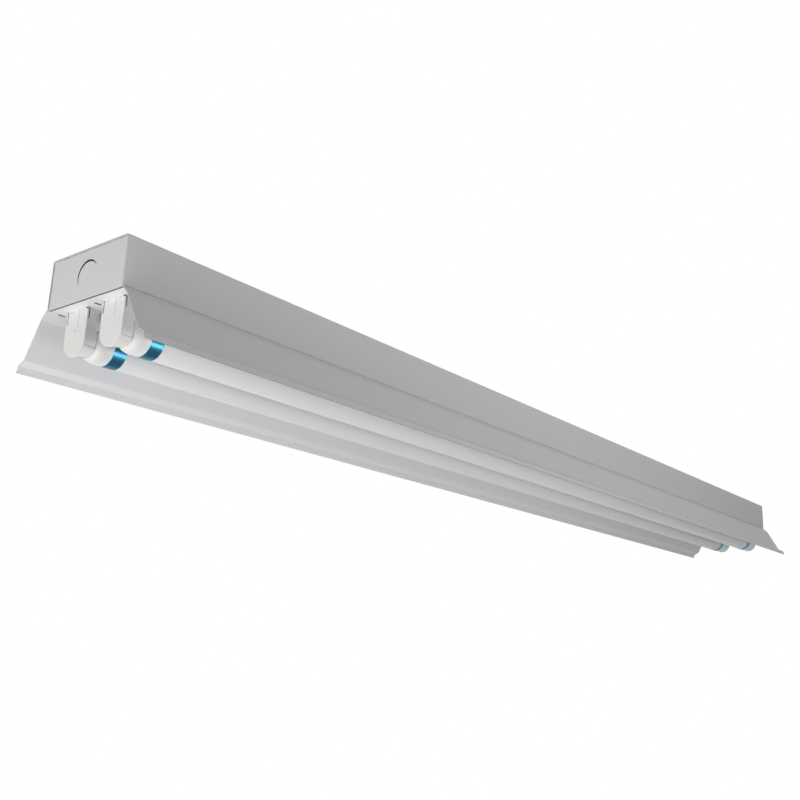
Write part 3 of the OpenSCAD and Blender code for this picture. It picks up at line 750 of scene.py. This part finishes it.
def make_end_plate():
    x, reach = PLATE_LOW.x, PLATE_HIGH.y
    low, high = PLATE_LOW.z, PLATE_HIGH.z
    bpy.ops.mesh.primitive_plane_add(size=1, location=(x, 0, (low + high) / 2),
                                     rotation=(0, math.radians(-90), 0))
    plate = name_piece("end_plate")
    plate.scale = (high - low, 2 * reach, 1)
    settle(plate)
    edit(plate)
    for spot, normal in (((0, reach - FOLD_R, 0), (0, 1, 0)),
                         ((0, FOLD_R - reach, 0), (0, 1, 0)),
                         ((0, 0, high - SHEET - FOLD_R), (0, 0, 1)),
                         ((0, 0, PANEL_TOP + PLATE_GAP + FOLD_R), (0, 0, 1))):
        bpy.ops.mesh.select_all(action="SELECT")
        bpy.ops.mesh.bisect(plane_co=spot, plane_no=normal)
    done()
    depth = PLATE_HIGH.x - x
    folds = (lambda a, b: near(a.z, high) and near(b.z, high) and abs(a.y + b.y) < MM,
             lambda a, b: near(a.y, reach) and near(b.y, reach) and abs(a.z - b.z) > reach / 2,
             lambda a, b: near(a.y, -reach) and near(b.y, -reach) and abs(a.z - b.z) > reach / 2)

    def pick_fold(fold):
        edit(plate, "EDGE")
        pick(plate, "edges", lambda e: near(e.verts[0].co.x, x) and near(e.verts[1].co.x, x)
             and fold(e.verts[0].co, e.verts[1].co))

    for fold in folds:
        pick_fold(fold)
        bpy.ops.mesh.extrude_edges_move(TRANSFORM_OT_translate={"value": (depth, 0, 0)})
        done()
    for fold in folds:
        pick_fold(fold)
        bpy.ops.mesh.bevel(offset=PLATE_FOLD_R, segments=3, affect="EDGES")
        done()
    modify(plate, "SOLIDIFY", thickness=SHEET, offset=-1.0, use_even_offset=True)
    slit = rod_tool(SLUG_R + SLUG_PLAY, (x - PAST, 0, SLUG_Z), (x + SHEET + PAST, 0, SLUG_Z),
                    vertices=ROUND_STEPS)
    settle(slit)
    slug_y, slug_z = SLUG_SHIFT[0], SLUG_Z + SLUG_SHIFT[1]
    merge(slit, rod_tool(SLUG_R, (x - 2 * PAST, slug_y, slug_z),
                         (x + SHEET + 2 * PAST, slug_y, slug_z), vertices=ROUND_STEPS))
    merge(plate, slit)
    soften(plate, width=PLATE_ROUND)
    return plate


end_plate = make_end_plate()
far_plate = copy_of(end_plate, "end_plate_beyond", turn=math.pi)
dress(end_plate, plate_enamel, "fixture", "plate_paint", "end_plate_near")
dress(far_plate, plate_enamel, "fixture", "plate_paint", "end_plate_far")
for plate in (end_plate, far_plate):
    # Painted shade: the knockout slit's walls are near black, for the shade inside the slit.
    walls = repaint(plate, slit_painted_shade, lambda f, c: abs(f.normal.x) < EDGE_ON and near(
        math.hypot(c.y, c.z - SLUG_Z), SLUG_R, SLIT_BAND))
    # Painted shade: the plate's lower edge is dark grey, for the shade of the gap above the panel.
    edges = repaint(plate, edge_painted_shade, lambda f, c: f.normal.z < -FACING
                    and near(c.z, PLATE_LOW.z, END_SLACK))
    print(plate.name, "faces", len(plate.data.polygons), "slit walls", walls, "lower edge", edges)

# %% [markdown]
# ## The lampholders
#
# A lampholder is a moulding with a round lower end, seated in the reflector by a base with two
# snap feet. It tapers towards the lamp, because a mould has to open. Its front is a plate that
# stands out a little past the side walls, and lower down the round end stands out too, which
# leaves a small ledge. A box with rounded edges would miss all of that, so the body is a cone cut
# in half, with its flat top pulled up to the panel, and a slimmer one joined to its front plate.

# %% Lampholder: its sizes and body
HOLDER_DEPTH = 12 * MM
FRONT_R = 12.7 * MM
REAR_R = 10.4 * MM
PANEL_HEIGHT = PANEL_TOP - SHEET - LAMP_Z
LEDGE_Z = -5.5 * MM
LEDGE_STEP = 0.8 * MM
FRONT_PLATE, FRONT_ROUND = 1.5 * MM, 0.5 * MM
TRIM_WIDE, TRIM_HIGH = 20 * MM, 30 * MM
SIDE_SLACK = 0.1 * MM


def holder_blank(name, inset, front=0.0):
    """A tapered round end below the lamp's axis, with its flat top pulled up to the panel."""
    front_r = FRONT_R + (REAR_R - FRONT_R) * front / HOLDER_DEPTH
    bpy.ops.mesh.primitive_cone_add(
        vertices=ROUND_STEPS, radius1=front_r - inset, radius2=REAR_R - inset,
        depth=HOLDER_DEPTH - front, location=((HOLDER_DEPTH + front) / 2, 0, 0),
        rotation=(0, math.radians(90), 0))
    blank = name_piece(name)
    settle(blank)
    edit(blank)
    bpy.ops.mesh.select_all(action="SELECT")
    bpy.ops.mesh.bisect(plane_co=(0, 0, 0), plane_no=(0, 0, 1), use_fill=True, clear_outer=True)
    done()
    edit(blank)
    pick(blank, "faces", lambda f: f.normal.z > FACING)
    bpy.ops.mesh.extrude_region_move(TRANSFORM_OT_translate={"value": (0, 0, PANEL_HEIGHT)})
    done()
    return blank


def make_holder_body():
    body = holder_blank("lampholder", 0)
    edit(body, "EDGE")
    pick(body, "edges", lambda e: all(near(v.co.x, 0) for v in e.verts)
         and not all(near(v.co.z, PANEL_HEIGHT) for v in e.verts)
         and (abs(e.verts[0].co.y) > FRONT_R - SIDE_SLACK
              or any(v.co.z < -SIDE_SLACK for v in e.verts)))
    bpy.ops.mesh.bevel(offset=FRONT_ROUND, segments=3, affect="EDGES")
    done()
    merge(body, box_tool((FRONT_PLATE, -TRIM_WIDE, LEDGE_Z), (TRIM_WIDE, TRIM_WIDE, TRIM_HIGH)))
    slim = holder_blank("slim", LEDGE_STEP, FRONT_PLATE / 2)
    merge(body, slim, "UNION")
    return body


holder = make_holder_body()
print("holder faces", len(holder.data.polygons))

# %% [markdown]
# ## What holds the lampholder
#
# The base goes up through the reflector's opening, and two wedge feet snap over the panel's edges.
# A small tab stands on each side of the rear. They could be pieces of their own, but the mould
# makes them in one shot with the body, so they are joined to it.

# %% Lampholder: base, feet and tabs
BASE_FRONT, BASE_REAR = 2.2 * MM, 10.4 * MM
BASE_HALF = 9.6 * MM
BASE_RISE = 6.5 * MM
FOOT_REACH, FOOT_RISE, FOOT_GAP = 1.4 * MM, 3.2 * MM, 0.2 * MM
TAB_TOP = PANEL_HEIGHT - 8.7 * MM
TAB_LEN, TAB_T, TAB_REACH = 6 * MM, 1.2 * MM, 1.6 * MM


def foot_tool(side):
    """A wedge that snaps over the panel: a box whose outer top edge is pulled in."""
    low = PANEL_HEIGHT + SHEET + FOOT_GAP
    ys = sorted((side * (BASE_HALF - FOOT_REACH), side * (BASE_HALF + FOOT_REACH)))
    foot = box_tool((BASE_FRONT, ys[0], low), (BASE_REAR, ys[1], low + FOOT_RISE))
    settle(foot)
    edit(foot, "EDGE")
    pick(foot, "edges", lambda e: all(
        near(v.co.z, low + FOOT_RISE) and near(abs(v.co.y), BASE_HALF + FOOT_REACH)
        for v in e.verts))
    bpy.ops.transform.translate(value=(0, -side * FOOT_REACH, 0))
    done()
    return foot


merge(holder, box_tool((BASE_FRONT, -BASE_HALF, PANEL_HEIGHT - PAST),
                       (BASE_REAR, BASE_HALF, PANEL_HEIGHT + BASE_RISE)), "UNION")
for side in (-1, 1):
    merge(holder, foot_tool(side), "UNION")
    outer = side * (REAR_R - LEDGE_STEP / 2)
    ys = sorted((outer, outer - side * TAB_T))
    merge(holder, box_tool((HOLDER_DEPTH - TAB_T, ys[0], TAB_TOP - TAB_LEN),
                           (HOLDER_DEPTH + TAB_REACH, ys[1], TAB_TOP)), "UNION")
print("holder faces", len(holder.data.polygons))

# %% [markdown]
# ## The works and the marks of the mould
#
# The rotor turns in a round bore, and the lamp's pins come in from below through a slot. Two
# pockets hold the contact strips. The front shows what the mould left: two grooves, two peep
# holes and a dimple, with a bent slit on each side that frees a latch. They are cut one after the
# other, and all the edges are rounded once at the end, so no cut has to work round a bevel.

# %% Lampholder: bore, slot, cavities and marks
ROTOR_R, ROTOR_SEAT, RUNNING_GAP = 8 * MM, 3.4 * MM, 0.08 * MM
PIN_SLOT_W, PIN_SLOT_FRONT = 3.1 * MM, 3.5 * MM
GROOVE_W, GROOVE_DEPTH = 0.7 * MM, 0.4 * MM
GROOVES = ((-2.6 * MM, 9 * MM), (10.9 * MM, 13 * MM))
PEEP_R, PEEP_Y, PEEP_DROP, PEEP_DEPTH = 0.9 * MM, 7 * MM, 1.4 * MM, 1.2 * MM
DIMPLE_R, DIMPLE_Z = 1.3 * MM, 7 * MM
LATCH_W, LATCH_X, LATCH_LEN, LATCH_DEPTH = 0.8 * MM, 2 * MM, 8.2 * MM, 2.2 * MM
NOTCH_R, NOTCH_DROP, NOTCH_DEPTH = 3.3 * MM, 5.2 * MM, 1.6 * MM
CAVITY_X, CAVITY_Y = (5.08 * MM, 9.12 * MM), (8.08 * MM, 8.77 * MM)
CAVITY_FOOT = -3.52 * MM
CAVITY_TOP = PANEL_HEIGHT + BASE_RISE + PAST
HOLDER_ROUND, HOLDER_LIMIT = 0.14 * MM, 35

merge(holder, rod_tool(ROTOR_R + RUNNING_GAP, (ROTOR_SEAT, 0, 0), (HOLDER_DEPTH + PAST, 0, 0),
                       vertices=ROUND_STEPS))
merge(holder, box_tool((PIN_SLOT_FRONT, -PIN_SLOT_W / 2, -FRONT_R - PAST),
                       (HOLDER_DEPTH + PAST, PIN_SLOT_W / 2, 0)))
for groove_y, foot in GROOVES:
    merge(holder, box_tool((-PAST, groove_y - GROOVE_W / 2, foot),
                           (GROOVE_DEPTH, groove_y + GROOVE_W / 2, PANEL_HEIGHT + PAST)))
merge(holder, rod_tool(DIMPLE_R, (-PAST, 0, DIMPLE_Z), (GROOVE_DEPTH, 0, DIMPLE_Z), vertices=32))
for side in (-1, 1):
    ys = sorted(side * y for y in CAVITY_Y)
    merge(holder, box_tool((CAVITY_X[0], ys[0], CAVITY_FOOT), (CAVITY_X[1], ys[1], CAVITY_TOP)))
    peep_y, peep_z = side * PEEP_Y, PANEL_HEIGHT - PEEP_DROP
    merge(holder, rod_tool(PEEP_R, (-PAST, peep_y, peep_z), (PEEP_DEPTH, peep_y, peep_z),
                           vertices=24))
    ys = sorted((side * (FRONT_R - LATCH_DEPTH), side * (FRONT_R + PAST)))
    top = PANEL_HEIGHT - LATCH_W
    merge(holder, box_tool((LATCH_X, ys[0], PANEL_HEIGHT - LATCH_LEN),
                           (LATCH_X + LATCH_W, ys[1], top)))
    merge(holder, box_tool((-PAST, ys[0], top - LATCH_W), (LATCH_X + LATCH_W / 2, ys[1], top)))
    notch_z = PANEL_HEIGHT - NOTCH_DROP
    ys = (side * REAR_R - NOTCH_DEPTH, side * REAR_R + NOTCH_DEPTH)
    merge(holder, rod_tool(NOTCH_R, (HOLDER_DEPTH, ys[0], notch_z), (HOLDER_DEPTH, ys[1], notch_z)))
soften(holder, width=HOLDER_ROUND, limit=HOLDER_LIMIT)
print("holder faces", len(holder.data.polygons))

# %% [markdown]
# ## Four of the same moulding
#
# All four lampholders are the same, so one is modelled and copied, and the far pair is turned
# round. In a photograph the latches' slits are the darkest lines of a holder, so the faces within
# them get painted shade, a dark grey plastic, found by their place in the holder's own directions.

# %% Lampholders: the four copies
HOLDER_X = END_X - HOLDER_INSET
LATCH_EDGE = 0.2 * MM


def in_latch(point, side):
    """Whether a point of a placed holder lies in one of its latch slits."""
    depth, out, up = HOLDER_X - abs(point.x), abs(point.y - side * LAMP_Y), point.z - LAMP_Z
    return (-LATCH_EDGE < depth < LATCH_X + LATCH_W + LATCH_EDGE
            and FRONT_R - LATCH_DEPTH - LATCH_EDGE < out < FRONT_R - LATCH_EDGE
            and PANEL_HEIGHT - LATCH_LEN - LATCH_EDGE < up < PANEL_HEIGHT - LATCH_W + LATCH_EDGE)


for end, turn, x in (("near", 0, -HOLDER_X), ("far", math.pi, HOLDER_X)):
    for hand, side in (("left", 1), ("right", -1)):
        each = copy_of(holder, f"holder_{end}_{hand}", turn, (x, side * LAMP_Y, LAMP_Z))
        dress(each, holder_plastic, "fixture", "holder_plastic", f"lampholder_{end}_{hand}")
        # Painted shade: the latch slits' walls get the dark grey plastic, for the shade inside
        # them.
        repaint(each, latch_painted_shade, lambda f, c: in_latch(c, side))
bpy.data.objects.remove(holder)
print("lampholders placed")

# %% [markdown]
# ## A lathe
#
# A lamp's pieces are all round about its axis, so they are turned, as on a lathe. A profile is
# drawn as a chain of points, each extruded from the last, and spun once round the axis. Spinning
# leaves a seam of doubled points, which are merged, and the normals are then made to point
# outwards.

# %% A lathe
def turned(name, profile):
    """Spins a chain of (x, radius) points round the X axis."""
    bpy.ops.mesh.primitive_plane_add(size=MM)
    piece = name_piece(name)
    edit(piece, "VERT")
    bpy.ops.mesh.select_all(action="SELECT")
    bpy.ops.mesh.merge(type="CENTER")
    bpy.ops.mesh.select_all(action="SELECT")
    x, radius = profile[0]
    bpy.ops.transform.translate(value=(x, 0, radius))
    for next_x, next_radius in profile[1:]:
        step = (next_x - x, 0, next_radius - radius)
        bpy.ops.mesh.extrude_vertices_move(TRANSFORM_OT_translate={"value": step})
        x, radius = next_x, next_radius
    bpy.ops.mesh.select_all(action="SELECT")
    bpy.ops.mesh.spin(steps=ROUND_STEPS, angle=2 * math.pi, center=(0, 0, 0), axis=(1, 0, 0))
    bpy.ops.mesh.select_all(action="SELECT")
    bpy.ops.mesh.remove_doubles(threshold=0.001 * MM)
    bpy.ops.mesh.normals_make_consistent(inside=False)
    done()
    return piece


def rounded(low_x, low_r, high_x, high_r, ease, steps=3):
    """The four rounded corners of a ring's section, as a closed chain of points."""
    corners = ((low_x + ease, low_r + ease, 180, 270), (high_x - ease, low_r + ease, 270, 360),
               (high_x - ease, high_r - ease, 0, 90), (low_x + ease, high_r - ease, 90, 180))
    points = []
    for x, r, start, end in corners:
        for k in range(steps + 1):
            angle = math.radians(start + (end - start) * k / steps)
            points.append((x + ease * math.cos(angle), r + ease * math.sin(angle)))
    return points + points[:1]


print("profiles can be turned")

# %% [markdown]
# ## Caps, rings and tubes
#
# A cap is one moulding: a rounded nose, a collar that covers the tube's end, the sleeve that the
# ring is pushed against and a spigot that fits inside the tube. The ring is a thin foil tube, and
# the tube a thin wall with rounded ends. The lamp is the same at both ends, so a cap and a ring
# are turned once and copied four times, and the far ones are turned round.

# %% Sizes of the turned pieces
CAP_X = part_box("cap_near_left")[0].x
NOSE_R, COLLAR_R = 9.2 * MM, 13.15 * MM
COLLAR_LEN, RIM_LEN, SLEEVE_LEN = 9 * MM, 0.3 * MM, 4.7 * MM
TUBE_R, TUBE_WALL = 12.8 * MM, 0.9 * MM
RING_LEN, RING_WALL = 10.7 * MM, 0.2 * MM
SPIGOT_R, SPIGOT_WALL, SPIGOT_LEN = 11.8 * MM, 1.6 * MM, 8 * MM
CAP_FLOOR = 1.8 * MM
SLEEVE_END = COLLAR_LEN + SLEEVE_LEN
NOSE_STEPS = 12
CAP_EASE, RING_EASE, TUBE_EASE = 0.1 * MM, 0.07 * MM, 0.25 * MM
RING_LIFT = 0.05 * MM
print("cap's face at", round(CAP_X / MM, 1), "its sleeve ends at", round(SLEEVE_END / MM, 1))

# %% Caps, rings and tubes
def cap_profile():
    round_len = COLLAR_LEN - RIM_LEN
    points = [(0.0, 0.0)]
    for k in range(NOSE_STEPS + 1):
        angle = math.radians(90 * k / NOSE_STEPS)
        points.append((round_len * (1 - math.cos(angle)),
                       NOSE_R + (COLLAR_R - NOSE_R) * math.sin(angle)))
    sleeve_r, bore_r = TUBE_R + RING_WALL, SPIGOT_R - SPIGOT_WALL
    spigot_end = SLEEVE_END + SPIGOT_LEN
    points += [(COLLAR_LEN - CAP_EASE, COLLAR_R), (COLLAR_LEN, COLLAR_R - CAP_EASE)]
    points += [(COLLAR_LEN, sleeve_r), (SLEEVE_END - CAP_EASE, sleeve_r)]
    points += [(SLEEVE_END, sleeve_r - CAP_EASE), (SLEEVE_END, SPIGOT_R)]
    points += [(spigot_end, SPIGOT_R), (spigot_end, bore_r), (CAP_FLOOR, bore_r), (CAP_FLOOR, 0.0)]
    return points


cap = turned("cap", cap_profile())
ring = turned("ring", rounded(SLEEVE_END, TUBE_R + RING_LIFT, SLEEVE_END + RING_LEN,
                              TUBE_R + RING_WALL, RING_EASE))
for end, turn, x in (("near", 0, CAP_X), ("far", math.pi, -CAP_X)):
    for hand, side in (("left", 1), ("right", -1)):
        place = (x, side * LAMP_Y, LAMP_Z)
        each = copy_of(cap, f"lamp_cap_{end}_{hand}", turn, place)
        dress(each, cap_plastic, f"lamp_{hand}", "cap_plastic", f"cap_{end}_{hand}")
        each = copy_of(ring, f"lamp_ring_{end}_{hand}", turn, place)
        dress(each, ring_foil, f"lamp_{hand}", "ring_blue", f"ring_{end}_{hand}")
tube_half = -CAP_X - SLEEVE_END
tube = turned("tube", rounded(-tube_half, TUBE_R - TUBE_WALL, tube_half, TUBE_R, TUBE_EASE))
for hand, side in (("left", 1), ("right", -1)):
    each = copy_of(tube, f"lamp_tube_{hand}", 0, (0, side * LAMP_Y, LAMP_Z))
    dress(each, tube_frost, f"lamp_{hand}", "frosted_tube", f"tube_{hand}")
for used in (cap, ring, tube):
    bpy.data.objects.remove(used)
print("caps, rings and tubes placed")

# %% [markdown]
# ## The parts that keep their shape
#
# Screws, rotors, contacts, the lamps' insides, the driver and the wires are simple or hidden, and
# their construction is already right. They only need materials. Each part takes the first entry
# in the list that its name starts with. The parts that a new piece replaces get theirs too, so
# nothing is left without one.

# %% Materials of the loaded parts
FINISHES = {
    "housing_channel": housing_enamel, "end_plate": plate_enamel, "reflector_screws": screw_enamel,
    "reflector": reflector_enamel, "spreader": zinc, "lampholder": holder_plastic,
    "rotor": rotor_plastic, "contacts": bronze, "tube": tube_frost, "spine": aluminium,
    "led_board": board_white, "cap": cap_plastic, "ring": ring_foil, "pins": pin_brass,
    "driver_case": driver_enamel, "driver_board": board_green, "driver": zinc,
    "terminal_block": terminal_nylon, "ground_screw": ground_dye, "supply_wires": wire_black,
    "wiring": wire_red,
}
for name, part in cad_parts.items():
    finish = next(value for start, value in FINISHES.items() if name.startswith(start))
    part.data.materials.clear()
    part.data.materials.append(finish)
print(len(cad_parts), "loaded parts have materials")

# %% [markdown]
# ## Light and ground
#
# The picture has a pure white background, but white light from everywhere would wash the white
# metal out. So the world looks white only to the camera and to reflections, and lights the
# surfaces with a plain grey.

# %% World
WORLD_GREY = 0.2


def make_world(grey):
    world = bpy.data.worlds.new("world")
    bpy.context.scene.world = world
    world.use_nodes = True
    tree = world.node_tree
    tree.nodes.clear()
    path = tree.nodes.new("ShaderNodeLightPath")
    seen = tree.nodes.new("ShaderNodeMath")
    seen.operation = "ADD"
    seen.use_clamp = True
    also = tree.nodes.new("ShaderNodeMath")
    also.operation = "ADD"
    tree.links.new(path.outputs["Is Camera Ray"], also.inputs[0])
    tree.links.new(path.outputs["Is Glossy Ray"], also.inputs[1])
    tree.links.new(also.outputs[0], seen.inputs[0])
    tree.links.new(path.outputs["Is Transmission Ray"], seen.inputs[1])
    white = tree.nodes.new("ShaderNodeBackground")
    plain = tree.nodes.new("ShaderNodeBackground")
    plain.inputs["Color"].default_value = (grey, grey, grey, 1)
    mix = tree.nodes.new("ShaderNodeMixShader")
    white.inputs["Color"].default_value = (1, 1, 1, 1)
    out = tree.nodes.new("ShaderNodeOutputWorld")
    tree.links.new(seen.outputs[0], mix.inputs["Fac"])
    tree.links.new(plain.outputs[0], mix.inputs[1])
    tree.links.new(white.outputs[0], mix.inputs[2])
    tree.links.new(mix.outputs[0], out.inputs["Surface"])


make_world(WORLD_GREY)
print("world made")

# %% [markdown]
# ## Lamps
#
# Square soft lamps do the rest, each where one face of the object needs it. One before the near
# end lights the end plate, and three below it light the reflector's inside, the lampholders and
# the tubes. Small ones on the right make the housing brightest past its middle, as in the
# photograph. Large ones above light the top and the outsides of the wings, and the last the far
# end. They are weak, so that no white surface clips and each colour shows about as it is written.

# %% Lamps: place, target, size in metres and watts
def make_light(name, place, target, size, watts):
    data = bpy.data.lights.new(name, "AREA")
    data.size = size
    data.energy = watts
    light = bpy.data.objects.new(name, data)
    bpy.context.scene.collection.objects.link(light)
    place = Vector(place)
    light.matrix_world = Matrix.Translation(place) @ (
        Vector(target) - place).to_track_quat("-Z", "Y").to_matrix().to_4x4()


LAMPS = {
    "near_end": ((-1.35, 0.15, -0.35), (-0.5, 0, -0.04), 0.5, 3.05),
    "near_right": ((-1.25, -0.5, -0.3), (-0.5, 0, -0.05), 0.4, 0.55),
    "near_below": ((-0.95, -0.42, -1.0), (-0.5, 0, -0.05), 0.5, 5.2),
    "near_below_left": ((-1.2, 0.45, -1.0), (-0.5, 0, -0.05), 0.6, 1.8),
    "under_end": ((-0.78, 0.05, -0.4), (-0.6, 0, -0.04), 0.2, 0.2),
    "middle_right": ((-0.05, -0.76, -0.48), (-0.05, 0, -0.03), 0.3, 1.6),
    "middle_high": ((-0.1, -0.8, -0.1), (-0.1, 0, -0.02), 0.35, 0.45),
    "above_right": ((0, -1.8, 1.2), (0, 0, -0.05), 1.4, 3.5),
    "above_near": ((-0.6, -0.6, 1.3), (-0.5, -0.05, -0.05), 0.6, 1.5),
    "above_left": ((0.2, 1.6, 1.3), (0, 0, -0.03), 1.4, 16),
    "far_end": ((1.4, 0.4, 0.3), (0.6, 0, -0.02), 0.5, 3),
}
for name, setting in LAMPS.items():
    make_light(name, *setting)
print(len(LAMPS), "lamps made")

# %% [markdown]
# ## Ground
#
# The light hangs in the air, so the ground is a pale disc far below it. It keeps the soft shadow
# of the object and fades to white towards its rim, so that no horizon shows against the
# background.

# %% Floor
FLOOR_R, FLOOR_Z = 3.0, -2.0
FADE_FROM, FADE_FULL = FLOOR_R * 0.35, FLOOR_R * 0.95


def make_floor():
    bpy.ops.mesh.primitive_circle_add(
        vertices=ROUND_STEPS, radius=FLOOR_R, location=(0, 0, FLOOR_Z), fill_type="NGON")
    floor = name_piece("floor")
    settle(floor)
    finish = Finish("floor_pale")
    spot = finish.node("ShaderNodeTexCoord", output="Object")
    flat = finish.node("ShaderNodeMapping", inputs={"Vector": spot, "Scale": (1, 1, 0)})
    distance = finish.node(
        "ShaderNodeVectorMath", {"operation": "LENGTH"}, {0: flat}, output="Value")
    rim = finish.node("ShaderNodeMapRange", {"interpolation_type": "SMOOTHSTEP"}, {
        "Value": distance, "From Min": FADE_FROM, "From Max": FADE_FULL})
    ground = finish.node("ShaderNodeBsdfDiffuse", inputs={"Color": (0.86, 0.86, 0.86, 1)})
    glow = finish.node("ShaderNodeEmission", inputs={"Color": (1, 1, 1, 1), "Strength": 1.0})
    seen = finish.node("ShaderNodeLightPath", output="Is Camera Ray")
    mirrored = finish.node("ShaderNodeLightPath", output="Is Glossy Ray")
    finish.node_out(finish.node("ShaderNodeMixShader", inputs={
        0: rim * (seen + mirrored), 1: ground, 2: glow}))
    floor.data.materials.append(finish.material)


make_floor()
print("floor", FLOOR_R, "m in radius")

# %% [markdown]
# ## Picture settings
#
# The colours are shown as they are, with no film look on top.

# %% Finish
scene = bpy.context.scene
scene.view_settings.view_transform = "Standard"
